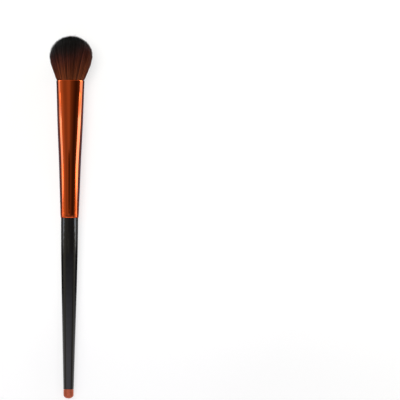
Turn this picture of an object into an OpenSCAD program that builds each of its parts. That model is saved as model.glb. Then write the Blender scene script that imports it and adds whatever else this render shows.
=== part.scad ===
// Concealer brush with an angled dome of soft fibres, lying at rest on its short side.
// Each piece is drawn along +Z from the tip of its end cap, long side of the head towards -Y.
// lay_down() then turns the brush along +Y, long side up, onto the surface at z = 0.

/* [Fibre head] */
// Height of the longest fibres above the mouth of the ferrule
head_h = 21.2; // [17:0.1:28]
// Full width of the ellipsoid that the fibre tips follow
dome_w = 23.4; // [20:0.1:27]
// Full depth of that ellipsoid, long side to short side
dome_d = 24.7; // [22:0.1:28]
// Height of the ellipsoid's crown over its widest section
dome_rise = 14; // [10:0.1:16]
// Distance of the crown from the brush's axis, towards the long side
crown_offset = 4.85; // [3:0.05:6]
// Angle at which the outermost fibres flare across the width
flare_w = 20.8; // [14:0.1:24]
// Angle at which the outermost fibres flare across the depth
flare_d = 15.9; // [10:0.1:20]
// How far the fibres swell past the wide ends of the mouth
swell = 0.35; // [0:0.01:0.6]
// Height over which they swell
swell_h = 0.8; // [0.4:0.1:2]
// Sharpness of the turn from the flared sides into the dome
rim_power = 14; // [8:1:22]
// Depth of the furrows between locks of fibre
lock_depth = 0.18; // [0:0.01:0.3]
// Height over which the furrows deepen from nothing
lock_h = 5; // [2:0.5:10]
// Unevenness of the fibre tips
tip_ragged = 0.2; // [0:0.01:0.35]

/* [Fibre roots] */
// Depth of the fibre roots below the mouth
root_l = 15; // [12:0.5:20]
// Depth of the top of the root glue below the mouth
glue_top = 9; // [7:0.5:11]
// Thickness of glue under the fibre roots
glue_floor = 3; // [1:0.5:5]
// Thickness of glue round the fibre roots
glue_side = 0.3; // [0.2:0.05:0.6]

/* [Ferrule] */
// Length of the ferrule
ferrule_l = 66.5; // [60:0.5:80]
// Width of the oval mouth
mouth_w = 13.6; // [12:0.1:15]
// Depth of the oval mouth
mouth_d = 9.3; // [8.4:0.1:10.2]
// Length of the parallel collar below the mouth
collar_l = 5.6; // [4:0.1:8]
// Rounding between the collar and the swelling tube
collar_bend = 0.9; // [0.3:0.1:2]
// Distance below the mouth at which the tube is back at its full depth
flat_l = 20; // [16:0.5:26]
// Distance below the mouth at which the tube is round
oval_l = 40; // [32:0.5:42]
// How far the sides stand out from a straight taper, halfway down the oval stretch
side_swell = 0.13; // [0:0.01:0.3]
// Diameter of the tube where it becomes round
round_d = 10.6; // [10.2:0.1:11.4]
// Diameter of the tube above its rolled lower edge
waist_d = 8.9; // [8.4:0.1:9.6]
// Wall of the tube
wall = 0.38; // [0.3:0.01:0.5]
// Length of the rolled lower edge
roll_l = 2.4; // [1.5:0.1:4]
// How far the lower edge is rolled in, at its radius
roll_in = 0.2; // [0.1:0.01:0.3]

/* [Handle] */
// Length of the handle between the ferrule and the end cap
handle_l = 82.5; // [60:0.5:110]
// Diameter of the handle beside the ferrule
handle_d = 8.3; // [7.8:0.05:8.8]
// Diameter of the handle beside the end cap
handle_tip_d = 5; // [4:0.05:6]
// Share of the handle over which its taper sets in
taper_soft = 0.25; // [0.1:0.01:0.5]
// Rounding of both lacquered edges
handle_edge = 0.12; // [0.05:0.01:0.2]
// Length of the tenon inside the ferrule
tenon_l = 30; // [20:0.5:31]
// Chamfer on the end of the tenon
tenon_chamfer = 0.8; // [0.3:0.1:1.5]

/* [End cap] */
// Length of the end cap
cap_l = 4.5; // [4:0.1:7]
// Diameter of the end cap
cap_d = 4.9; // [4:0.05:5.6]
// Height of its domed end
cap_dome = 1.8; // [1:0.1:2.6]
// Wall of the end cap
cap_wall = 0.4; // [0.3:0.01:0.6]

/* [Fits] */
// Clearance between pieces that seat in one another
fit = 0.05; // [0.03:0.01:0.08]

/* [Hidden] */

HEAD_SIDES = 120;
HEAD_LAYERS = 25;
TUBE_SIDES = 68;
HANDLE_STEPS = 24;
ROUND = 96;
// Furrows round the head: two counts that share no factor keep the locks uneven
LOCKS = [29, 43];
// Waves of the uneven tips: two round the head, one from its sides to its crown
TIP_WAVES = [67, 53];
TIP_CLIMB = 911;
// Slope at which the fibre tips are at their most uneven
TIP_SLOPE = 45;
SEEK_STEPS = 18;

// Heights of the joints, from the tip of the end cap
z_handle = cap_l;
z_ferrule = z_handle + handle_l;
z_mouth = z_ferrule + ferrule_l;

cap_r = cap_d / 2;
spigot_r = cap_r - cap_wall - fit;
spigot_l = cap_l - cap_dome;
lip_bore_r = waist_d / 2 - roll_in - wall;
tenon_r = lip_bore_r - fit;
lay_in = wall + fit;
root_in = lay_in + glue_side + fit;
dome_z = head_h - dome_rise;
// Height at which the fibre on the axis ends
axis_tip_h = dome_z + dome_rise * sqrt(1 - pow(2 * crown_offset / dome_d, 2));

function mix(a, b, x) = a + (b - a) * x;
function clip(x) = max(0, min(1, x));
function smooth(x) = let (c = clip(x)) c * c * (3 - 2 * c);

// Outside radius of the round stretch of the ferrule, t below the mouth
function round_r(t) =
    let (
        waist_t = ferrule_l - roll_l,
        cone_r = mix(round_d / 2, waist_d / 2, clip((t - oval_l) / (waist_t - oval_l))),
        turn = clip((t - waist_t) / roll_l)
    )
    cone_r - roll_in * (1 - cos(90 * turn));

// Half of the ferrule's outside width, t below the mouth
function half_w(t) = t < oval_l
    ? mix(mouth_w / 2, round_d / 2, t / oval_l) + side_swell * pow(sin(180 * t / oval_l), 2)
    : round_r(t);

// Half of its outside depth: a parallel collar, then a swelling back to the full tube
function half_d(t) =
    let (
        past = t - collar_l,
        run = (past + sqrt(past * past + collar_bend * collar_bend)) / 2,
        swelling = 1 - pow(1 - clip(run / (flat_l - collar_l)), 2)
    )
    t < oval_l ? mix(mouth_d / 2, round_d / 2, swelling) : round_r(t);

// Oval ring of the ferrule t below the mouth, moved inwards from its outside
function oval(t, inset, sides) =
    [for (i = [0 : sides - 1])
        let (a = 360 * i / sides)
        [(half_w(t) - inset) * sin(a), -(half_d(t) - inset) * cos(a), z_mouth - t]];

// Stations from the rolled lower edge up to the collar, as distances below the mouth
function stations(roll_steps, swell_steps) = concat(
    [for (k = [roll_steps : -1 : 0]) mix(ferrule_l - roll_l, ferrule_l - wall, k / roll_steps)],
    [oval_l, (oval_l + flat_l) / 2],
    [for (k = [0 : swell_steps]) mix(flat_l, collar_l + collar_bend, k / swell_steps)],
    [collar_l, collar_l - collar_bend, wall]
);
outer_stations = stations(5, 7);
inner_stations = stations(2, 5);

// Half round that joins the outside of the wall to its inside, from angle a0 to a1
function edge_round(a0, a1, step) =
    [for (a = [a0 : step : a1]) [wall / 2 * (1 - sin(a)), wall / 2 * (1 - cos(a))]];

// Outline of the tube's wall as [distance below the mouth, inset from the outside]
wall_outline = concat(
    [for (e = edge_round(90, 0, -30)) [ferrule_l - e[0], e[1]]],
    [for (t = outer_stations) [t, 0]],
    edge_round(0, 180, 30),
    [for (k = [len(inner_stations) - 1 : -1 : 0]) [inner_stations[k], wall]],
    [for (e = edge_round(180, 120, -30)) [ferrule_l - e[0], e[1]]]
);

// A fibre line: share r of the way out from the axis in direction a, at height h over the mouth
function fan_w(h) =
    mouth_w / 2 - lay_in + swell * (1 - exp(-h / swell_h)) + h * tan(flare_w);
function fan_d(h) = mouth_d / 2 - lay_in + h * tan(flare_d);
function fibre_point(r, a, h) = [r * fan_w(h) * sin(a), -r * fan_d(h) * cos(a), h];

// Below 1 inside the ellipsoid, above 1 outside it
function dome_reach(p) =
    norm([2 * p.x / dome_w, 2 * (p.y + crown_offset) / dome_d, max(0, p.z - dome_z) / dome_rise]);

// Share of the way, from the mouth's centre at a slope between side and crown, to the head's skin
function seek(a, slope, low, high, steps) =
    let (
        s = (low + high) / 2,
        r = s * cos(slope),
        p = fibre_point(r, a, s * sin(slope) * axis_tip_h),
        out = pow(r, rim_power) + pow(dome_reach(p), rim_power) > 1
    )
    steps == 0 ? s : seek(a, slope, out ? low : s, out ? s : high, steps - 1);

function furrow(a) = (cos(LOCKS[0] * a) + cos(LOCKS[1] * a)) / 2;
function unevenness(a, slope) =
    cos(TIP_WAVES[0] * a + TIP_CLIMB * slope) * cos(TIP_WAVES[1] * a) * smooth(slope / TIP_SLOPE);

function head_point(a, slope) =
    let (
        s = seek(a, slope, 0, 2, SEEK_STEPS),
        h = s * sin(slope) * axis_tip_h,
        locks = lock_depth * furrow(a) * smooth(h / lock_h) * cos(slope),
        p = fibre_point(s * cos(slope) * (1 + locks / fan_d(h)), a, h),
        ragged = tip_ragged * unevenness(min(a, 360 - a), slope)
    )
    [p.x, p.y, z_mouth + p.z + ragged];

head_rings = [for (k = [0 : HEAD_LAYERS - 1])
    [for (i = [0 : HEAD_SIDES - 1])
        head_point(360 * i / HEAD_SIDES, 90 * k / HEAD_LAYERS)]];
head_crown = [0, 0, z_mouth + axis_tip_h];

root_rings = [for (s = [
        [root_l, root_in],
        [(root_l + glue_top) / 2, root_in],
        [glue_top - fit, root_in],
        [glue_top - fit, lay_in],
        [collar_l, lay_in]
    ])
    oval(s[0], s[1], HEAD_SIDES)];

glue_rings = [for (s = [
        [root_l + glue_floor, lay_in],
        [root_l, lay_in],
        [(root_l + glue_top) / 2, lay_in],
        [glue_top, lay_in],
        [glue_top, lay_in + glue_side],
        [(root_l + glue_top) / 2, lay_in + glue_side],
        [root_l + fit, lay_in + glue_side]
    ])
    oval(s[0], s[1], TUBE_SIDES)];

// Underside of the brush as [height from the tip, distance from the axis]
underside = concat(
    [[cap_dome, cap_r]],
    [for (t = outer_stations) [z_mouth - t, half_d(t)]],
    [for (ring = head_rings) for (p = ring) if (p.y > 0) [p.z, p.y]]
);
lean = max([for (u = underside) if (u[0] > z_ferrule) atan2(u[1] - cap_r, u[0] - cap_dome)]);
lift = max([for (u = underside) u[1] * cos(lean) - u[0] * sin(lean)]);
reach = max([for (ring = head_rings) for (p = ring) p.z * cos(lean) + p.y * sin(lean)]);

// Skin through rings of equal count; a closed one joins its last ring to its first
module loft(rings, closed = false, crown = undef) {
    n = len(rings[0]);
    m = len(rings);
    spans = closed ? m : m - 1;
    sides = [for (k = [0 : spans - 1]) for (i = [0 : n - 1])
        let (
            a = k * n + i,
            b = k * n + (i + 1) % n,
            c = ((k + 1) % m) * n + (i + 1) % n,
            d = ((k + 1) % m) * n + i
        )
        each [[a, c, b], [a, d, c]]];
    last = (m - 1) * n;
    base = closed ? [] : [[for (i = [0 : n - 1]) i]];
    cover = closed ? []
        : is_undef(crown) ? [[for (i = [n - 1 : -1 : 0]) last + i]]
        : [for (i = [0 : n - 1]) [last + i, m * n, last + (i + 1) % n]];
    points = concat([for (ring = rings) each ring], is_undef(crown) ? [] : [crown]);
    polyhedron(points = points, faces = concat(sides, base, cover), convexity = 6);
}

module lay_down() {
    translate([0, -reach / 2, lift])
        rotate([lean - 90, 0, 0])
            children();
}

module fibre_bundle() {
    color("#2b1d18") lay_down() loft(concat(root_rings, head_rings), crown = head_crown);
}

module fibre_glue() {
    color("#d8c48a") lay_down() loft(glue_rings);
}

// Seamless tube, flattened to an oval mouth and rolled in at its lower edge
module ferrule() {
    color("#b4521f") lay_down()
        loft([for (w = wall_outline) oval(w[0], w[1], TUBE_SIDES)], closed = true);
}

// Glue that fills the widening bore round the tenon
module handle_glue() {
    low_t = ferrule_l - roll_l;
    high_t = ferrule_l - tenon_l + tenon_chamfer;
    color("#d8c48a") lay_down()
        rotate_extrude($fn = ROUND) polygon([
            [tenon_r + fit, z_mouth - low_t],
            [round_r(low_t) - lay_in, z_mouth - low_t],
            [half_d(high_t) - lay_in, z_mouth - high_t],
            [tenon_r + fit, z_mouth - high_t]
        ]);
}

// Radius of the handle a share x of the way down from the ferrule
function handle_r(x) =
    let (set_in = (sqrt(x * x + taper_soft * taper_soft) - taper_soft)
            / (sqrt(1 + taper_soft * taper_soft) - taper_soft))
    mix(handle_d / 2, handle_tip_d / 2, set_in);

// Turned handle: spigot for the cap, tapered grip, shoulder and tenon
module handle() {
    grip = [for (k = [0 : HANDLE_STEPS])
        let (z = mix(z_handle + handle_edge, z_ferrule - handle_edge, k / HANDLE_STEPS))
        [handle_r((z_ferrule - z) / handle_l), z]];
    color("#17171a") lay_down()
        rotate_extrude($fn = ROUND) polygon(concat(
            [[0, cap_l - spigot_l], [spigot_r, cap_l - spigot_l], [spigot_r, z_handle]],
            [[handle_r(1) - handle_edge, z_handle]],
            grip,
            [[handle_r(0) - handle_edge, z_ferrule], [tenon_r, z_ferrule]],
            [[tenon_r, z_ferrule + tenon_l - tenon_chamfer]],
            [[tenon_r - tenon_chamfer, z_ferrule + tenon_l], [0, z_ferrule + tenon_l]]
        ));
}

// Pressed cup with a domed end that covers the handle's spigot
module end_cap() {
    color("#b65a3c") lay_down()
        rotate_extrude($fn = ROUND) polygon(concat(
            [for (a = [0 : 10 : 90]) [cap_r * sin(a), cap_dome * (1 - cos(a))]],
            [[cap_r, cap_l - fit], [cap_r - cap_wall, cap_l - fit]],
            [[cap_r - cap_wall, cap_l - spigot_l - fit], [0, cap_l - spigot_l - fit]]
        ));
}

fibre_bundle();
fibre_glue();
ferrule();
handle_glue();
handle();
end_cap();
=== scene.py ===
# Concealer brush lying on a pale floor, with its fibre head made of separate tapered strands.
# All lengths are in metres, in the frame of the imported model.
import math

import bpy
import numpy as np
from mathutils import Matrix, Vector


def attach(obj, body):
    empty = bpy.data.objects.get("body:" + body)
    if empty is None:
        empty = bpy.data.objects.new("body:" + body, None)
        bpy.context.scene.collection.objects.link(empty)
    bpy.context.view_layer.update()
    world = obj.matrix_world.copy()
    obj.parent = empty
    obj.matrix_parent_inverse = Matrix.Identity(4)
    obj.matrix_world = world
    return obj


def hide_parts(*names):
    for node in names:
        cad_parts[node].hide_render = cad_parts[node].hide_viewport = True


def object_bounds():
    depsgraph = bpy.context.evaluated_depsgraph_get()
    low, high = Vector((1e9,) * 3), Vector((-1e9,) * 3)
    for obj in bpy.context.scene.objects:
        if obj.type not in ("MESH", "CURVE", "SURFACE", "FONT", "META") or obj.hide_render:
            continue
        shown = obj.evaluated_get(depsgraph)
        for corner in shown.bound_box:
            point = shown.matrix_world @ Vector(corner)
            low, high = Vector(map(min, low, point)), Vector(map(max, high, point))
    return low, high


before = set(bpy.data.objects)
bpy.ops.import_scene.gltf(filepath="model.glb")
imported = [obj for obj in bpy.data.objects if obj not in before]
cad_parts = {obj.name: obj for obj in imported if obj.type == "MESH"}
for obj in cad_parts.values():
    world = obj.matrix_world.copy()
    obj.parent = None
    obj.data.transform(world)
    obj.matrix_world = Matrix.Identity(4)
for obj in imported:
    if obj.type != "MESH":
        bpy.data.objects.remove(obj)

CAD_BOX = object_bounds()
MM = 0.001
SEED = 41
UV_MAP = "OFBake"
# CAD corners closer than this are one, and sharper turns than this stay crisp
WELD_GAP = 0.001 * MM
CRISP_ANGLE = math.radians(32)

# Ferrule, as in the part's source
FERRULE_L = 66.5 * MM
MOUTH_W = 13.6 * MM
MOUTH_D = 9.3 * MM
COLLAR_L = 5.6 * MM
COLLAR_BEND = 0.9 * MM
FLAT_L = 20 * MM
OVAL_L = 40 * MM
SIDE_SWELL = 0.13 * MM
ROUND_D = 10.6 * MM
WAIST_D = 8.9 * MM
WALL = 0.38 * MM
ROLL_L = 2.4 * MM
ROLL_IN = 0.2 * MM
# Numbers of points round its finer mesh, along its wall and over its lip
FERRULE_COLUMNS = 160
WALL_ROWS = 170
LIP_ROWS = 9

# Fibre head, as in the part's source
HEAD_H = 21.2 * MM
DOME_D = 24.7 * MM
DOME_RISE = 14 * MM
DOME_Z = HEAD_H - DOME_RISE
CROWN_OFFSET = 4.85 * MM
FLARE_W = math.radians(20.8)
FLARE_D = math.radians(15.9)
RIM_POWER = 14
FIT = 0.05 * MM
GLUE_SIDE = 0.3 * MM
LAY_IN = WALL + FIT
ROOT_IN = LAY_IN + GLUE_SIDE + FIT
ROOT_L = 15 * MM
GLUE_TOP = 9 * MM
# The width that trims the strands and their swell over the mouth are their own, because
# loose ends thin out at the edge
DOME_W = 24.0 * MM
SWELL = 0.3 * MM
SWELL_H = 0.4 * MM
# Tips are sought up to this height, by halving
SEARCH_H = 1.2 * HEAD_H
SEARCH_STEPS = 22

# Strands: how many, in which ring of the disc, and where their points lie from root to tip.
# The inner ones show only their ends.
OUTER_COUNT = 5200
OUTER_RING = (0.8, 0.998)
OUTER_SHARES = np.array([0, 0.05, 0.2, 0.45, 0.7, 0.88, 1])
INNER_COUNT = 9500
INNER_RING = (0, 0.85)
INNER_SHARES = np.array([0.55, 0.75, 0.9, 1])
PIECES_OF_EACH = 2
FIBRE_SIDES = 3
FIBRE_R = 0.045 * MM
FIBRE_TIP_R = 0.008 * MM
FIBRE_TAPER_L = 9 * MM
FIBRE_TAPER_POWER = 0.7
THICKNESS = (0.8, 1.2)
# Strands gather in clumps with a pull, a length and a tone of their own
CLUMPS = 5000
CLUMP_PULL = (0.5, 1)
CLUMP_LENGTH_SPREAD = 0.22 * MM
CLUMP_TONE = 0.42
CLUMP_TONE_SPREAD = 0.6
STRAND_PULL = (0.35, 0.85)
PULL_POWER = 1.5
NEAREST_BATCH = 2000
# Uneven tips, and those of the strands near the edge, which also curl in
TIP_LONGER = 0.08 * MM
TIP_JITTER = 0.2 * MM
TIP_SPREAD = 0.3 * MM
EDGE_FROM = 0.75
EDGE_LONGER = 0.3 * MM
EDGE_SPREAD = 1.1 * MM
CURL_IN = 0.02
CURL_POWER = 4
# Bends, at most BEND_MOST times their spread, with one strand in ten more bent, and a slight
# sway whose wave turns by SWAY_TURN radians from root to tip
BEND = 0.18 * MM
LOOSE_BEND = 0.32 * MM
LOOSE_SHARE = 0.1
BEND_MOST = 1.5
BEND_POWER = 2.5
SWAY = 0.06 * MM
SWAY_TURN = 7
LEAN = 0.025
FLOOR_CLEARANCE = 0.05 * MM
# How far a loose end may stray to either side, past the solid model's box
STRAY = 0.55 * MM

# Core of the head: its width as a share of the whole, and the share of the height and then of
# the width at which its side turns into its dome
CORE_COLUMNS = 240
CORE_SIDE_ROWS = 12
CORE_DOME_ROWS = 22
CORE_SHARE = 0.93
CORE_SHOULDER = 0.92
CORE_BELOW = 1.5 * MM
CORE_IN = LAY_IN + 0.2 * MM
CORE_TONE = 0.35
CORE_TONE_SPREAD = 0.2

# Height of the dye line on the axis, its rise per unit towards the long side, and the fade's span
DYE_H = 9 * MM
DYE_RISE = 0.55
DYE_ABOVE = 3 * MM
DYE_SPAN = 16 * MM
DYE_JITTER = 0.05
# Its rise towards both sides, in metres for a distance squared, and from left to right
DYE_SIDES = 38
DYE_TILT = 0.25
# Tone runs from 0 to TONE_TOP, and is a little lighter for the outermost strands: painted light
# on the head's rim
TONE_TOP = 0.8
TONE_JITTER = 0.11
OUTER_PAINTED_LIGHT = 0.2
OUTER_PAINTED_LIGHT_FROM = 0.9
# Painted light: thin ends are painted a cool pale grey near the head's left and right edge, for
# light shining through them, stronger on the left (PAINTED_LIGHT_LEFT) than the right
# (PAINTED_LIGHT_RIGHT): from PALE_FROM of its half width, fully after PAINTED_LIGHT_SPAN more,
# and less with the distance from the tip. PAINTED_LIGHT_EDGE is the half width that the tips
# reach, and PAINTED_LIGHT_CROWN keeps some of it at the crown.
PAINTED_LIGHT_LEFT = 1
PAINTED_LIGHT_RIGHT = 0.85
PALE_FROM = 0.7
PAINTED_LIGHT_SPAN = 0.27
PAINTED_LIGHT_TIP_L = 6 * MM
PAINTED_LIGHT_EDGE = 0.93 * DOME_W / 2
PAINTED_LIGHT_CROWN = 0.05

# Light: strips and cards beside the brush. A shift says how many millimetres further along the
# brush their stripes lie than the parts that mirror them.
LEFT_LEVEL = 2.8
RIGHT_LEVEL = 3.8
LEFT_H = 0.18
RIGHT_H = 0.25
STRIP_AWAY = 0.6
STRIP_L = 0.9
STRIP_SHIFT = 20
STRIP_BEYOND = 1.6
CARD_LEVEL = 0.24
CARD_START = -62 * MM
CARD_WHOLE = -34 * MM
CARD_Z = 0.02 * MM
CARD_SHIFT = 2
CARD_BEYOND = 0.5
FAR_MM = 1000
# Panel, hood and key light over the brush
PANEL_W = 0.3
PANEL_L = 0.2
PANEL_END_Y = -0.02
PANEL_Z = 0.12
HOOD_W = 0.083
HOOD_L = 0.05
HOOD_PLACE = (-0.024, 0.013, 0.25)
KEY_SIZE = 0.6
KEY_LEVEL = 5
KEY_PLACE = (-0.28, 0.25, 0.95)
# Light from beyond both ends of the brush, between two shares of the way there
END_LEVEL = 0.85
END_FROM = 0.35
END_TO = 0.75
# Floor, with its glow near the brush and far from it
FLOOR_SIZE = 8
FLOOR_GREY = 0.4
FLOOR_NEAR = 0.12
FLOOR_FAR = 0.5
FLOOR_GLOW = 0.64
FLOOR_FAR_GLOW = 1
ROOM_TINT = (1, 0.93, 0.68)
STRIPE_TINT = (0.85, 1.42, 2.2)
NO_TINT = (1, 1, 1)
PANEL_TINT = (1, 0.99, 1.08)
END_TINT = (1, 0.97, 0.9)

# Camera
VIEW_DISTANCE = 2.0
VIEW_WIDTH = 0.1928
VIEW_ELEVATION = math.radians(86)
VIEW_ROLL = math.radians(0.27)
VIEW_ASIDE = 62.9 * MM
VIEW_AHEAD = 8.44 * MM
SENSOR = 36
CLIP_START = 0.1
CLIP_END = 20


def mix(a, b, x):
    return a + (b - a) * x


def clip(x):
    return np.clip(x, 0, 1)


def smooth(x):
    c = clip(x)
    return c * c * (3 - 2 * c)


def radius(q):
    """Distance of places in the disc from its centre."""
    return np.hypot(q[..., 0], q[..., 1])


# The brush's own axes


def corner_points(name):
    """The separate corners of a CAD node's mesh, to the micrometre."""
    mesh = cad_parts[name].data
    flat = np.empty(len(mesh.vertices) * 3)
    mesh.vertices.foreach_get("co", flat)
    return np.unique(flat.reshape(-1, 3).round(6), axis=0)


def brush_axes():
    """Centre of the ferrule's mouth, and the directions across, up and along the brush."""
    turned = corner_points("handle")
    centre = turned.mean(axis=0)
    along = np.linalg.svd(turned - centre, full_matrices=False)[2][0]
    along *= np.sign(along[1])
    across = np.array([1.0, 0.0, 0.0])
    reach = (corner_points("ferrule") @ along).max() - centre @ along
    return centre + along * reach, np.array([across, np.cross(across, along), along])


MOUTH, AXES = brush_axes()


def to_frame(local):
    """Points given across, up and along the brush from the mouth's centre, in the frame."""
    return MOUTH + local @ AXES


def leaning(local):
    """The head leans a little to one side, as soft fibres do."""
    aside = LEAN * np.maximum(0, local[..., 2])
    return np.stack([local[..., 0] + aside, local[..., 1], local[..., 2]], -1)


# Meshes


def mesh_piece(name, points, faces, uv, material, cad_node):
    """A smooth piece made of triangles that stands for a CAD node."""
    mesh = bpy.data.meshes.new(name)
    mesh.vertices.add(len(points))
    mesh.vertices.foreach_set("co", points.astype(np.float32).ravel())
    corners = faces.astype(np.int32).ravel()
    mesh.loops.add(len(corners))
    mesh.loops.foreach_set("vertex_index", corners)
    mesh.polygons.add(len(faces))
    mesh.polygons.foreach_set("loop_start", np.arange(0, len(corners), 3, dtype=np.int32))
    mesh.update(calc_edges=True)
    mesh.polygons.foreach_set("use_smooth", np.ones(len(faces), dtype=bool))
    layer = mesh.uv_layers.new(name=UV_MAP)
    layer.uv.foreach_set("vector", uv[corners].astype(np.float32).ravel())
    mesh.materials.append(material)
    piece = bpy.data.objects.new(name, mesh)
    bpy.context.scene.collection.objects.link(piece)
    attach(piece, "root")
    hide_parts(cad_node)


def grid_faces(rows, columns, closed=False):
    """Triangles between rows of points that run round; a closed grid joins its ends."""
    lower = np.arange(rows if closed else rows - 1)[:, None]
    here = np.arange(columns)[None, :]
    a = lower * columns + here
    b = lower * columns + (here + 1) % columns
    upper = (lower + 1) % rows
    c = upper * columns + (here + 1) % columns
    d = upper * columns + here
    return np.stack([np.stack([a, b, c], -1), np.stack([a, c, d], -1)], 2).reshape(-1, 3)


# Ferrule


def round_r(t):
    """Outside radius of the round part, at a distance t below the mouth."""
    waist_t = FERRULE_L - ROLL_L
    cone_r = mix(ROUND_D / 2, WAIST_D / 2, clip((t - OVAL_L) / (waist_t - OVAL_L)))
    turn = clip((t - waist_t) / ROLL_L)
    return cone_r - ROLL_IN * (1 - np.cos(turn * math.pi / 2))


def half_w(t):
    """Half of the tube's outside width."""
    taper = mix(MOUTH_W / 2, ROUND_D / 2, t / OVAL_L)
    swell = SIDE_SWELL * np.sin(math.pi * t / OVAL_L) ** 2
    return np.where(t < OVAL_L, taper + swell, round_r(t))


def half_d(t):
    """Half of its outside depth: a parallel collar, then a swelling back to the full tube."""
    past = t - COLLAR_L
    run = (past + np.sqrt(past * past + COLLAR_BEND * COLLAR_BEND)) / 2
    swelling = 1 - (1 - clip(run / (FLAT_L - COLLAR_L))) ** 2
    return np.where(t < OVAL_L, mix(MOUTH_D / 2, ROUND_D / 2, swelling), round_r(t))


def wall_outline():
    """The tube's wall as distances below the mouth and insets from the outside."""
    turn = np.linspace(0, math.pi, LIP_ROWS)
    lip_t = WALL / 2 * (1 - np.sin(turn))
    lip_in = WALL / 2 * (1 - np.cos(turn))
    down = np.linspace(FERRULE_L - WALL / 2, WALL / 2, WALL_ROWS)[1:-1]
    t = np.concatenate([(FERRULE_L - lip_t)[::-1], down, lip_t, down[::-1]])
    inset = np.concatenate([lip_in[::-1], np.zeros(len(down)), lip_in, np.full(len(down), WALL)])
    return t, inset


def oval_rings(t, inset, columns):
    """Rings of points inside the tube's outline, one for each distance and inset."""
    a = np.linspace(0, 2 * math.pi, columns, endpoint=False)
    across = (half_w(t) - inset)[:, None] * np.sin(a)
    up = (half_d(t) - inset)[:, None] * np.cos(a)
    along = np.broadcast_to(-t[:, None], across.shape)
    return np.stack([across, up, along], -1)


def make_ferrule(material):
    t, inset = wall_outline()
    rings = oval_rings(t, inset, FERRULE_COLUMNS)
    u = np.broadcast_to(np.abs(np.linspace(-1, 1, FERRULE_COLUMNS)), rings.shape[:2])
    v = np.broadcast_to((t / FERRULE_L)[:, None], rings.shape[:2])
    mesh_piece(
        "ferrule_tube",
        to_frame(rings.reshape(-1, 3)),
        grid_faces(len(t), FERRULE_COLUMNS, closed=True),
        np.stack([u, v], -1).reshape(-1, 2),
        material,
        "ferrule",
    )


# Fibre lines: q is a place in the unit disc of the bundle, and h the height above the mouth


def fan_w(h):
    """Half of the bundle's width at the height h."""
    swell = SWELL * (1 - np.exp(-h / SWELL_H))
    return MOUTH_W / 2 - LAY_IN + swell + h * math.tan(FLARE_W)


def fan_d(h):
    """Half of its depth."""
    return MOUTH_D / 2 - LAY_IN + h * math.tan(FLARE_D)


def fibre_point(q, h):
    """The point where the fibre line that starts at q is h above the mouth."""
    return np.stack([q[..., 0] * fan_w(h), q[..., 1] * fan_d(h), h], -1)


def beyond_head(q, h):
    """Above 0 where a point lies outside the head's skin."""
    p = fibre_point(q, h)
    reach = np.sqrt(
        (2 * p[..., 0] / DOME_W) ** 2
        + (2 * (p[..., 1] - CROWN_OFFSET) / DOME_D) ** 2
        + (np.maximum(0, h - DOME_Z) / DOME_RISE) ** 2
    )
    return radius(q) ** RIM_POWER + reach**RIM_POWER - 1


def tip_height(q):
    """Height at which each fibre line meets the head's skin."""
    low = np.zeros(q.shape[:-1])
    high = np.full(q.shape[:-1], SEARCH_H)
    for _ in range(SEARCH_STEPS):
        h = (low + high) / 2
        out = beyond_head(q, h) > 0
        high = np.where(out, h, high)
        low = np.where(out, low, h)
    return (low + high) / 2


# Strands


def disc_places(rng, count, inner, outer):
    """Random places between two radii of the disc, evenly dense."""
    r = np.sqrt(rng.uniform(inner**2, outer**2, count))
    a = rng.uniform(0, 2 * math.pi, count)
    return np.stack([r * np.sin(a), r * np.cos(a)], -1)


def nearest(places, centres):
    """For each place, the number of its nearest centre."""
    found = np.empty(len(places), dtype=int)
    for start in range(0, len(places), NEAREST_BATCH):
        batch = slice(start, start + NEAREST_BATCH)
        gaps = ((places[batch, None, :] - centres[None, :, :]) ** 2).sum(-1)
        found[batch] = gaps.argmin(1)
    return found


def dye_depth(points):
    """0 above the slanted line that the black dye reaches, 1 well below it."""
    across, up = points[..., 0], points[..., 1]
    line_h = DYE_H + DYE_RISE * up + DYE_SIDES * across**2 + DYE_TILT * across
    return (line_h - points[..., 2] + DYE_ABOVE) / DYE_SPAN


def uneven_tips(rng, tips, edge, clump_length):
    """Heights of the tips, which end short or long of the head's skin."""
    count = len(tips)
    tip_h = tip_height(tips) + clump_length
    tip_h += rng.normal(TIP_LONGER, TIP_JITTER, count) - rng.exponential(TIP_SPREAD, count)
    return tip_h + edge * (EDGE_LONGER - rng.exponential(EDGE_SPREAD, count))


def bends(rng, count, f):
    """Sideways bend and sway of each strand at shares f of its length."""
    loose = rng.uniform(size=count) < LOOSE_SHARE
    spread = np.where(loose, LOOSE_BEND, BEND)
    bend = np.clip(rng.normal(0, 1, (count, 2)), -BEND_MOST, BEND_MOST) * spread[:, None]
    sway = rng.normal(0, SWAY, (count, 2))
    phase = rng.uniform(0, 2 * math.pi, count)
    wave = f * np.sin(SWAY_TURN * f + phase[:, None])
    return bend[:, None, :] * (f**BEND_POWER)[..., None] + sway[:, None, :] * wave[..., None]


def strand_lines(rng, places, clump, shares):
    """Centre lines of the strands, and each point's distance from its tip."""
    pull = rng.uniform(*STRAND_PULL, len(places)) * clump["pull"]
    drawn = (clump["centre"] - places) * pull[:, None]
    edge = smooth((radius(places) - EDGE_FROM) / (1 - EDGE_FROM))
    tips = (places + drawn) * (1 - CURL_IN * edge[:, None])
    tip_h = uneven_tips(rng, tips, edge, clump["length"])

    f = shares[None, :]
    h = tip_h[:, None] * f
    q = places[:, None, :] + drawn[:, None, :] * (f**PULL_POWER)[..., None]
    q = q * (1 - CURL_IN * edge[:, None] * f**CURL_POWER)[..., None]
    line = fibre_point(q, h)
    line[..., :2] += bends(rng, len(places), f)
    return line, tip_h[:, None] - h


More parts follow.
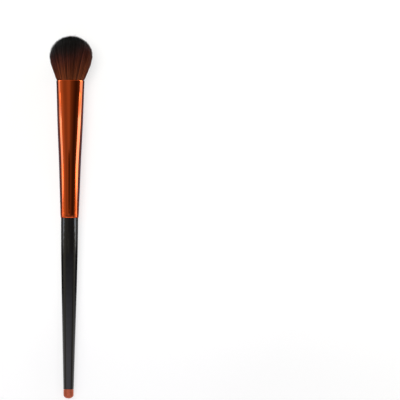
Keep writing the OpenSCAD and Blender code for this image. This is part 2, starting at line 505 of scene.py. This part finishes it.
def strand_mesh(rng, line, from_tip):
    """Tapered tubes with few sides that end almost in a point."""
    count, rows = line.shape[:2]
    tangent = np.gradient(line, axis=1)
    tangent /= np.linalg.norm(tangent, axis=-1, keepdims=True)
    turn = rng.uniform(0, 2 * math.pi, count)
    aside = np.stack([np.cos(turn), np.sin(turn), np.zeros(count)], -1)[:, None, :]
    first = np.cross(tangent, aside)
    first /= np.linalg.norm(first, axis=-1, keepdims=True)
    second = np.cross(tangent, first)
    thickness = rng.uniform(*THICKNESS, count)[:, None]
    taper = clip(from_tip / FIBRE_TAPER_L) ** FIBRE_TAPER_POWER
    r = (mix(FIBRE_TIP_R, FIBRE_R, taper) * thickness)[..., None]
    angles = [2 * math.pi * k / FIBRE_SIDES for k in range(FIBRE_SIDES)]
    sides = [line + r * (first * math.cos(a) + second * math.sin(a)) for a in angles]
    points = np.stack(sides, 2).reshape(-1, 3)

    starts = np.arange(count) * rows * FIBRE_SIDES
    faces = starts[:, None, None] + grid_faces(rows, FIBRE_SIDES)[None]
    return points, faces.reshape(-1, 3)


def resting(points):
    """Fibres that would reach through the floor lie on it, and none strays far to a side."""
    points[:, 2] = np.maximum(points[:, 2], FLOOR_CLEARANCE)
    side = CAD_BOX[1].x
    reach = np.abs(points[:, 0])
    stray = STRAY * np.tanh(np.maximum(0, reach - side) / STRAY)
    points[:, 0] = np.sign(points[:, 0]) * (np.minimum(reach, side) + stray)
    return points


def painted_edge_light(line, from_tip):
    """Painted light: near 1 at the head's left and right edge, where light shining through the
    thin ends is painted on as a pale grey, else 0.
    """
    across, h = line[..., 0], line[..., 2]
    rise = clip((h - DOME_Z) / DOME_RISE)
    edge = np.minimum(fan_w(h), PAINTED_LIGHT_EDGE * np.sqrt(1 + PAINTED_LIGHT_CROWN - rise**2))
    most = np.where(across < 0, PAINTED_LIGHT_LEFT, PAINTED_LIGHT_RIGHT) * clip(1 - from_tip / PAINTED_LIGHT_TIP_L)
    return most * smooth((np.abs(across) / edge - PALE_FROM) / PAINTED_LIGHT_SPAN)


def strand_tone(tone, places, pale):
    """Tone along each strand from 0 to TONE_TOP, lighter on the outermost strands as painted rim
    light, and on to 1 where painted edge light makes it pale.
    """
    # Painted light: the outermost strands are toned lighter, as if their rim caught more light.
    outer = smooth((radius(places) - OUTER_PAINTED_LIGHT_FROM) / (1 - OUTER_PAINTED_LIGHT_FROM))
    return mix(TONE_TOP * clip(tone + OUTER_PAINTED_LIGHT * outer)[:, None], 1, pale)


def make_strands(name, rng, places, clumps, shares, material):
    count = len(places)
    own = nearest(places, clumps["centre"])
    clump = {key: values[own] for key, values in clumps.items()}
    line, from_tip = strand_lines(rng, places, clump, shares)
    points, faces = strand_mesh(rng, line, from_tip)
    tone = clump["tone"] + rng.normal(0, TONE_JITTER, count)
    shade = clip(dye_depth(line) + rng.normal(0, DYE_JITTER, count)[:, None])
    # The tone carries painted light: lighter outermost strands and pale ends at the head's left
    # and right edge.
    u = strand_tone(tone, places, painted_edge_light(line, from_tip))
    uv = np.repeat(np.stack([u, shade], -1), FIBRE_SIDES, axis=1)
    mesh_piece(
        name,
        resting(to_frame(leaning(points))),
        faces,
        uv.reshape(-1, 2),
        material,
        "fibre_bundle",
    )


def core_rings():
    """Rings from the roots in the ferrule up to the crown, under the ends of the strands."""
    root_t = np.array([ROOT_L, GLUE_TOP, GLUE_TOP, COLLAR_L])
    root_in = np.array([ROOT_IN, ROOT_IN, CORE_IN, CORE_IN])
    root = oval_rings(root_t, root_in, CORE_COLUMNS)

    a = np.linspace(0, 2 * math.pi, CORE_COLUMNS, endpoint=False)
    circle = np.stack([np.sin(a), np.cos(a)], -1)
    dome_shares = np.linspace(CORE_SHOULDER, 0, CORE_DOME_ROWS)
    shares = np.concatenate([np.full(CORE_SIDE_ROWS, CORE_SHARE), dome_shares])
    q = shares[:, None, None] * circle[None]
    side_climb = np.linspace(0, CORE_SHOULDER, CORE_SIDE_ROWS)
    climb = np.concatenate([side_climb, np.ones(CORE_DOME_ROWS)])
    h = (tip_height(q) - CORE_BELOW) * climb[:, None]
    return np.concatenate([root, fibre_point(q, h)])


def make_core(rng, material):
    """The body of the bundle behind its outer strands, down to the roots in the ferrule."""
    rings = core_rings()
    tone = TONE_TOP * clip(CORE_TONE + rng.normal(0, CORE_TONE_SPREAD, CORE_COLUMNS))
    u = np.broadcast_to(tone, rings.shape[:2])
    uv = np.stack([u, clip(dye_depth(rings))], -1)
    mesh_piece(
        "fibre_core",
        resting(to_frame(leaning(rings.reshape(-1, 3)))),
        grid_faces(len(rings), CORE_COLUMNS),
        uv.reshape(-1, 2),
        material,
        "fibre_bundle",
    )


def make_head(material):
    """The core, and layers of strands that each make up two pieces."""
    rng = np.random.default_rng(SEED)
    clumps = {
        "centre": disc_places(rng, CLUMPS, 0, 1),
        "pull": rng.uniform(*CLUMP_PULL, CLUMPS),
        "length": rng.normal(0, CLUMP_LENGTH_SPREAD, CLUMPS),
        "tone": clip(rng.normal(CLUMP_TONE, CLUMP_TONE_SPREAD, CLUMPS)),
    }
    make_core(rng, material)
    layers = [
        ("fibres_outer", OUTER_COUNT, OUTER_RING, OUTER_SHARES),
        ("fibres_inner", INNER_COUNT, INNER_RING, INNER_SHARES),
    ]
    for name, count, ring, shares in layers:
        for k in range(PIECES_OF_EACH):
            places = disc_places(rng, count, *ring)
            make_strands(f"{name}_{k + 1}", rng, places, clumps, shares, material)


# Materials


def new_material(name):
    """A new material with its node tree and its shader."""
    material = bpy.data.materials.new(name)
    material.use_nodes = True
    shader = material.node_tree.nodes["Principled BSDF"]
    return material, material.node_tree, shader


def node(tree, kind, **settings):
    """A new node with some of its properties set."""
    made = tree.nodes.new(kind)
    for name, value in settings.items():
        setattr(made, name, value)
    return made


def ramp(tree, factor, stops):
    """A factor from 0 to 1 turned into a colour, by stops of place and colour."""
    made = node(tree, "ShaderNodeValToRGB")
    elements = made.color_ramp.elements
    while len(elements) < len(stops):
        elements.new(0.5)
    for element, (position, colour) in zip(elements, stops):
        element.position = position
        element.color = (*colour, 1)
    tree.links.new(factor, made.inputs["Fac"])
    return made.outputs["Color"]


def between(tree, factor, low, high):
    """A factor from 0 to 1 turned into a number from low to high."""
    made = node(tree, "ShaderNodeMapRange")
    made.inputs["To Min"].default_value = low
    made.inputs["To Max"].default_value = high
    tree.links.new(factor, made.inputs["Value"])
    return made.outputs["Result"]


def blended(tree, share, colour, second):
    """A colour turned into a second, uniform one by a share from 0 to 1."""
    made = node(tree, "ShaderNodeMix", data_type="RGBA")
    tree.links.new(share, made.inputs["Factor"])
    tree.links.new(colour, made.inputs["A"])
    made.inputs["B"].default_value = (*second, 1)
    return made.outputs["Result"]


def noise(tree, scale, stretch=(1, 1, 1), detail=3):
    """Noise over the object, drawn out along the brush where stretch says so."""
    place = node(tree, "ShaderNodeTexCoord")
    scaled = node(tree, "ShaderNodeMapping")
    scaled.inputs["Scale"].default_value = stretch
    made = node(tree, "ShaderNodeTexNoise")
    made.inputs["Scale"].default_value = scale
    made.inputs["Detail"].default_value = detail
    tree.links.new(place.outputs["Object"], scaled.inputs["Vector"])
    tree.links.new(scaled.outputs["Vector"], made.inputs["Vector"])
    return made.outputs["Fac"]


def bump(tree, shader, height, strength, distance):
    """Fine relief in the shader's normal."""
    made = node(tree, "ShaderNodeBump")
    made.inputs["Strength"].default_value = strength
    made.inputs["Distance"].default_value = distance
    tree.links.new(height, made.inputs["Height"])
    tree.links.new(made.outputs["Normal"], shader.inputs["Normal"])


def dyed_colour(tree, depth):
    """Black at the tip to copper-brown at the root."""
    return ramp(
        tree,
        depth,
        [
            (0.0, (0.012, 0.0112, 0.0105)),
            (0.19, (0.025, 0.0122, 0.0098)),
            (0.33, (0.059, 0.014, 0.0087)),
            (0.55, (0.089, 0.019, 0.0067)),
            (0.78, (0.12, 0.0265, 0.007)),
            (1.0, (0.153, 0.0365, 0.009)),
        ],
    )


def toned(tree, colour, tone):
    """The dyed colour, darker or lighter by the strand's tone."""
    stops = [
        (0.0, (0.4, 0.38, 0.36)),
        (0.5 * TONE_TOP, (0.88, 0.87, 0.88)),
        (TONE_TOP, (1.95, 2.1, 2.3)),
    ]
    product = node(tree, "ShaderNodeMix", data_type="RGBA", blend_type="MULTIPLY")
    product.inputs["Factor"].default_value = 1
    tree.links.new(colour, product.inputs["A"])
    tree.links.new(ramp(tree, tone, stops), product.inputs["B"])
    return product.outputs["Result"]


def with_painted_edge_light(tree, colour, tone):
    """The colour turned into a cool grey where the tone is above TONE_TOP: painted light on the
    thin ends at the head's edge.
    """
    share = ramp(tree, tone, [(TONE_TOP, (0, 0, 0)), (1.0, (1, 1, 1))])
    return blended(tree, share, colour, (0.115, 0.125, 0.13))


def fibre_material():
    """Two-tone dye along each strand, with a tone of its own, and painted light: lighter
    outermost strands and pale ends at the head's left and right edge.
    """
    material, tree, shader = new_material("fibres")
    place = node(tree, "ShaderNodeUVMap", uv_map=UV_MAP)
    parts = node(tree, "ShaderNodeSeparateXYZ")
    tree.links.new(place.outputs["UV"], parts.inputs["Vector"])
    tone, depth = parts.outputs["X"], parts.outputs["Y"]
    colour = with_painted_edge_light(tree, toned(tree, dyed_colour(tree, depth), tone), tone)
    tree.links.new(colour, shader.inputs["Base Color"])
    shader.inputs["Roughness"].default_value = 0.5
    shader.inputs["Specular IOR Level"].default_value = 0.2
    return material


def ferrule_material():
    """Mirror-bright aluminium under a clear copper-orange anodised skin."""
    material, tree, shader = new_material("copper_anodised")
    drawn = noise(tree, scale=900, stretch=(1, 0.03, 1))
    roughness = between(tree, drawn, low=0.05, high=0.11)
    tree.links.new(roughness, shader.inputs["Roughness"])
    shader.inputs["Base Color"].default_value = (0.92, 0.112, 0.002, 1)
    shader.inputs["Metallic"].default_value = 1
    shader.inputs["Specular Tint"].default_value = (0.85, 0.36, 0.22, 1)
    shader.inputs["Coat Weight"].default_value = 0.85
    shader.inputs["Coat Roughness"].default_value = 0.05
    return material


def lacquer_material():
    """Black lacquer over turned wood, with a faint orange peel."""
    material, tree, shader = new_material("black_lacquer")
    peel = noise(tree, scale=700)
    roughness = between(tree, peel, low=0.07, high=0.12)
    tree.links.new(roughness, shader.inputs["Roughness"])
    bump(tree, shader, peel, strength=0.05, distance=0.02 * MM)
    shader.inputs["Base Color"].default_value = (0.006, 0.0056, 0.0062, 1)
    return material


def cap_material():
    """Satin copper with faint marks from handling."""
    material, tree, shader = new_material("copper_satin")
    worn = noise(tree, scale=1200, detail=4)
    colour = ramp(tree, worn, [(0.3, (0.38, 0.082, 0.042)), (0.7, (0.46, 0.12, 0.065))])
    tree.links.new(colour, shader.inputs["Base Color"])
    roughness = between(tree, worn, low=0.3, high=0.42)
    tree.links.new(roughness, shader.inputs["Roughness"])
    shader.inputs["Metallic"].default_value = 1
    return material


def glue_material():
    """Clouded epoxy."""
    material, tree, shader = new_material("cured_glue")
    clouded = noise(tree, scale=500)
    colour = ramp(tree, clouded, [(0.3, (0.62, 0.50, 0.24)), (0.7, (0.74, 0.62, 0.36))])
    tree.links.new(colour, shader.inputs["Base Color"])
    shader.inputs["Roughness"].default_value = 0.25
    return material


def dress(name, material):
    """A CAD node kept as it is, with smooth curves and crisp edges."""
    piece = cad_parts[name]
    piece.data.materials.clear()
    piece.data.materials.append(material)
    piece.data.polygons.foreach_set("use_smooth", np.ones(len(piece.data.polygons), dtype=bool))
    if piece.data.attributes.get("custom_normal"):
        piece.data.attributes.remove(piece.data.attributes["custom_normal"])
    weld = piece.modifiers.new("weld", "WELD")
    weld.merge_threshold = WELD_GAP
    split = piece.modifiers.new("crisp_edges", "EDGE_SPLIT")
    split.split_angle = CRISP_ANGLE


# Stage


def stage_plane(name, width, depth, place, material):
    """A flat rectangle of the stage."""
    mesh = bpy.data.meshes.new(name)
    w, d = width / 2, depth / 2
    corners = [(-w, -d, 0), (w, -d, 0), (w, d, 0), (-w, d, 0)]
    mesh.from_pydata(corners, [], [(0, 1, 2, 3)])
    mesh.materials.append(material)
    plane = bpy.data.objects.new(name, mesh)
    plane.location = place
    bpy.context.scene.collection.objects.link(plane)
    return plane


def combined(tree, operation, first, second):
    """Two numbers put together by a math node."""
    made = node(tree, "ShaderNodeMath", operation=operation)
    tree.links.new(first, made.inputs[0])
    tree.links.new(second, made.inputs[1])
    return made.outputs[0]


def seen_rays(tree):
    """1 for what the camera sees, straight, mirrored or through something clear, else 0."""
    rays = node(tree, "ShaderNodeLightPath").outputs
    seen = combined(tree, "MAXIMUM", rays["Is Camera Ray"], rays["Is Glossy Ray"])
    return combined(tree, "MAXIMUM", seen, rays["Is Transmission Ray"])


def glow_by_distance(tree):
    """Level of the floor's glow, from near the brush to far away."""
    place = node(tree, "ShaderNodeNewGeometry")
    away = node(tree, "ShaderNodeVectorMath", operation="LENGTH")
    tree.links.new(place.outputs["Position"], away.inputs[0])
    level = node(tree, "ShaderNodeMapRange")
    level.inputs["From Min"].default_value = FLOOR_NEAR
    level.inputs["From Max"].default_value = FLOOR_FAR
    level.inputs["To Min"].default_value = FLOOR_GLOW
    level.inputs["To Max"].default_value = FLOOR_FAR_GLOW
    tree.links.new(away.outputs["Value"], level.inputs["Value"])
    return level.outputs["Result"]


def floor_material():
    """Pale floor that shows white and keeps the brush's shadow."""
    material, tree, shader = new_material("floor")
    tree.nodes.remove(shader)
    lit = node(tree, "ShaderNodeBsdfDiffuse")
    lit.inputs["Color"].default_value = (FLOOR_GREY, FLOOR_GREY, FLOOR_GREY, 1)
    glow = node(tree, "ShaderNodeEmission")
    glow.inputs["Color"].default_value = (1, 1, 1, 1)
    strength = combined(tree, "MULTIPLY", seen_rays(tree), glow_by_distance(tree))
    tree.links.new(strength, glow.inputs["Strength"])
    both = node(tree, "ShaderNodeAddShader")
    tree.links.new(lit.outputs[0], both.inputs[0])
    tree.links.new(glow.outputs[0], both.inputs[1])
    tree.links.new(both.outputs[0], tree.nodes["Material Output"].inputs["Surface"])
    return material


def frame_axis(tree, axis, low, high):
    """Place along one axis of the frame, as a factor that is 0 at low and 1 at high."""
    place = node(tree, "ShaderNodeNewGeometry")
    parts = node(tree, "ShaderNodeSeparateXYZ")
    tree.links.new(place.outputs["Position"], parts.inputs["Vector"])
    factor = node(tree, "ShaderNodeMapRange")
    factor.inputs["From Min"].default_value = low
    factor.inputs["From Max"].default_value = high
    tree.links.new(parts.outputs[axis], factor.inputs["Value"])
    return factor.outputs["Result"]


def levels_along(tree, axis, levels):
    """Light that changes along one axis, from rows of millimetres, level and tint."""
    low, high = levels[0][0], levels[-1][0]
    stops = [
        ((at - low) / (high - low), [level * c for c in tint]) for at, level, tint in levels
    ]
    return ramp(tree, frame_axis(tree, axis, low * MM, high * MM), stops)


def fading_in(tree, surface, low, high):
    """A surface that is clear before low and whole after high, along the brush."""
    clear = node(tree, "ShaderNodeBsdfTransparent")
    both = node(tree, "ShaderNodeMixShader")
    tree.links.new(frame_axis(tree, "Y", low, high), both.inputs[0])
    tree.links.new(clear.outputs[0], both.inputs[1])
    tree.links.new(surface, both.inputs[2])
    return both.outputs[0]


def glow_material(name, across, along, fade=None):
    """Light that changes across and along the brush, and can fade in along it."""
    material, tree, shader = new_material(name)
    tree.nodes.remove(shader)
    glow = node(tree, "ShaderNodeEmission")
    across = [(at, level, NO_TINT) for at, level in across]
    tree.links.new(levels_along(tree, "X", across), glow.inputs["Strength"])
    tree.links.new(levels_along(tree, "Y", along), glow.inputs["Color"])
    surface = fading_in(tree, glow.outputs[0], *fade) if fade else glow.outputs[0]
    tree.links.new(surface, tree.nodes["Material Output"].inputs["Surface"])
    return material


def stripe_levels(shift, beyond):
    """Light beside the brush, from the handle to past the head, as rows for levels_along."""
    levels = [
        (-19, 0.1, NO_TINT),
        (-13, 1, NO_TINT),
        (-2, 1, NO_TINT),
        (2, 0.68, NO_TINT),
        (7, 0.57, STRIPE_TINT),
        (33, 0.57, STRIPE_TINT),
        (50, 0.74, STRIPE_TINT),
        (63, 0.38, STRIPE_TINT),
        (90, 0.36, NO_TINT),
        (130, beyond, NO_TINT),
    ]
    return [(at + shift, level, tint) for at, level, tint in levels]


def seen_in_gloss_only(thing):
    """Hide a part of the stage from all rays but mirrored ones."""
    thing.visible_camera = False
    thing.visible_diffuse = False
    thing.visible_shadow = False
    thing.visible_transmission = False
    thing.visible_volume_scatter = False


def strip_light(name, side, height, level):
    """A long soft box beside the brush, standing on the floor."""
    place = (side * STRIP_AWAY, STRIP_L / 2, height / 2)
    across = [(-FAR_MM, level), (FAR_MM, level)]
    material = glow_material(name, across, stripe_levels(STRIP_SHIFT, STRIP_BEYOND))
    strip = stage_plane(name, height, STRIP_L, place, material)
    strip.rotation_euler = (0, math.pi / 2, 0)
    strip.visible_camera = False


def make_cards():
    """Dark beside the brush and bright further out, as a photographer's cards."""
    across = [
        (-100, LEFT_LEVEL),
        (-72, LEFT_LEVEL),
        (-58, CARD_LEVEL),
        (42, CARD_LEVEL),
        (56, RIGHT_LEVEL),
        (100, RIGHT_LEVEL),
    ]
    along = stripe_levels(CARD_SHIFT, CARD_BEYOND)
    cards = stage_plane(
        "cards",
        2 * STRIP_AWAY,
        STRIP_L - CARD_START,
        (0, (STRIP_L + CARD_START) / 2, CARD_Z),
        glow_material("cards", across, along, fade=(CARD_START, CARD_WHOLE)),
    )
    seen_in_gloss_only(cards)


def make_panel():
    """A soft panel low over the thin end of the handle."""
    levels = [(-80, 1.05), (-60, 0.75), (-40, 0.35), (-20, 0.1)]
    along = [(at, level, PANEL_TINT) for at, level in levels]
    across = [(-150, 1.1), (0, 1.0), (150, 0.8)]
    panel = stage_plane(
        "panel",
        PANEL_W,
        PANEL_L,
        (0, PANEL_END_Y - PANEL_L / 2, PANEL_Z),
        glow_material("panel", across, along),
    )
    panel.visible_camera = False


def make_hood():
    """A dark hood over the lower half of the ferrule, which mirrors it as a dark band."""
    across = [(-66, 0.06), (-10, 0.04), (5, 0.09), (18, 0.05)]
    along = [(0, 1, ROOM_TINT), (40, 1, ROOM_TINT)]
    material = glow_material("hood", across, along)
    seen_in_gloss_only(stage_plane("hood", HOOD_W, HOOD_L, HOOD_PLACE, material))


def make_key():
    """Soft light from the upper left that leaves no glint."""
    lamp = bpy.data.lights.new("key", "AREA")
    lamp.size = KEY_SIZE
    lamp.energy = KEY_LEVEL * math.pi * KEY_SIZE * KEY_SIZE
    key = bpy.data.objects.new("key", lamp)
    key.location = KEY_PLACE
    key.rotation_euler = (-key.location).to_track_quat("-Z", "Y").to_euler()
    key.visible_glossy = False
    key.visible_camera = False
    bpy.context.scene.collection.objects.link(key)


def overhead_light(tree, x, z):
    """Room light over the brush, by rows of degrees from straight up to the right, and level."""
    levels = [
        (-90, 0.6),
        (-70, 0.50),
        (-58, 0.42),
        (-48, 0.28),
        (-35, 0.21),
        (-24, 0.24),
        (-16, 0.30),
        (-5, 0.29),
        (3, 0.15),
        (14, 0.10),
        (24, 0.06),
        (36, 0.03),
        (48, 0.05),
        (62, 0.10),
        (72, 0.5),
        (90, 0.6),
    ]
    turn = node(tree, "ShaderNodeMapRange")
    turn.inputs["From Min"].default_value = -math.pi / 2
    turn.inputs["From Max"].default_value = math.pi / 2
    tree.links.new(combined(tree, "ARCTAN2", x, z), turn.inputs["Value"])
    stops = [((at + 90) / 180, [level * c for c in ROOM_TINT]) for at, level in levels]
    return ramp(tree, turn.outputs["Result"], stops)


def make_world():
    """Soft room light with a level of its own beyond both ends, and white for the camera."""
    world = bpy.data.worlds.new("room")
    bpy.context.scene.world = world
    world.use_nodes = True
    tree = world.node_tree
    place = node(tree, "ShaderNodeTexCoord")
    parts = node(tree, "ShaderNodeSeparateXYZ")
    tree.links.new(place.outputs["Generated"], parts.inputs["Vector"])
    sides = overhead_light(tree, parts.outputs["X"], parts.outputs["Z"])
    lengthways = node(tree, "ShaderNodeMath", operation="ABSOLUTE")
    tree.links.new(parts.outputs["Y"], lengthways.inputs[0])
    ends = ramp(tree, lengthways.outputs[0], [(END_FROM, (0, 0, 0)), (END_TO, (1, 1, 1))])
    sky = blended(tree, ends, sides, [END_LEVEL * c for c in END_TINT])
    rays = node(tree, "ShaderNodeLightPath")
    seen = blended(tree, rays.outputs["Is Camera Ray"], sky, NO_TINT)
    tree.links.new(seen, tree.nodes["Background"].inputs["Color"])


def make_camera():
    """Long lens over the brush, a little towards its handle, with the brush at the left."""
    data = bpy.data.cameras.new("camera")
    data.sensor_width = SENSOR
    data.lens = SENSOR * VIEW_DISTANCE / VIEW_WIDTH
    data.clip_start = CLIP_START
    data.clip_end = CLIP_END
    camera = bpy.data.objects.new("camera", data)
    bpy.context.scene.collection.objects.link(camera)
    low, high = CAD_BOX
    target = (low + high) / 2 + Vector((VIEW_ASIDE, VIEW_AHEAD, 0))
    back = Vector((0, -math.cos(VIEW_ELEVATION), math.sin(VIEW_ELEVATION)))
    turn = (-back).to_track_quat("-Z", "Y").to_matrix() @ Matrix.Rotation(VIEW_ROLL, 3, "Z")
    camera.rotation_euler = turn.to_euler()
    camera.location = target + back * VIEW_DISTANCE
    bpy.context.scene.camera = camera


def make_stage():
    """Floor, lights, room and camera."""
    stage_plane("floor", FLOOR_SIZE, FLOOR_SIZE, (0, 0, 0), floor_material())
    make_cards()
    strip_light("strip_left", -1, LEFT_H, LEFT_LEVEL)
    strip_light("strip_right", 1, RIGHT_H, RIGHT_LEVEL)
    make_panel()
    make_hood()
    make_key()
    make_world()
    make_camera()
    bpy.context.scene.view_settings.view_transform = "Standard"


make_ferrule(ferrule_material())
make_head(fibre_material())
dress("handle", lacquer_material())
dress("end_cap", cap_material())
glue = glue_material()
dress("handle_glue", glue)
dress("fibre_glue", glue)
make_stage()
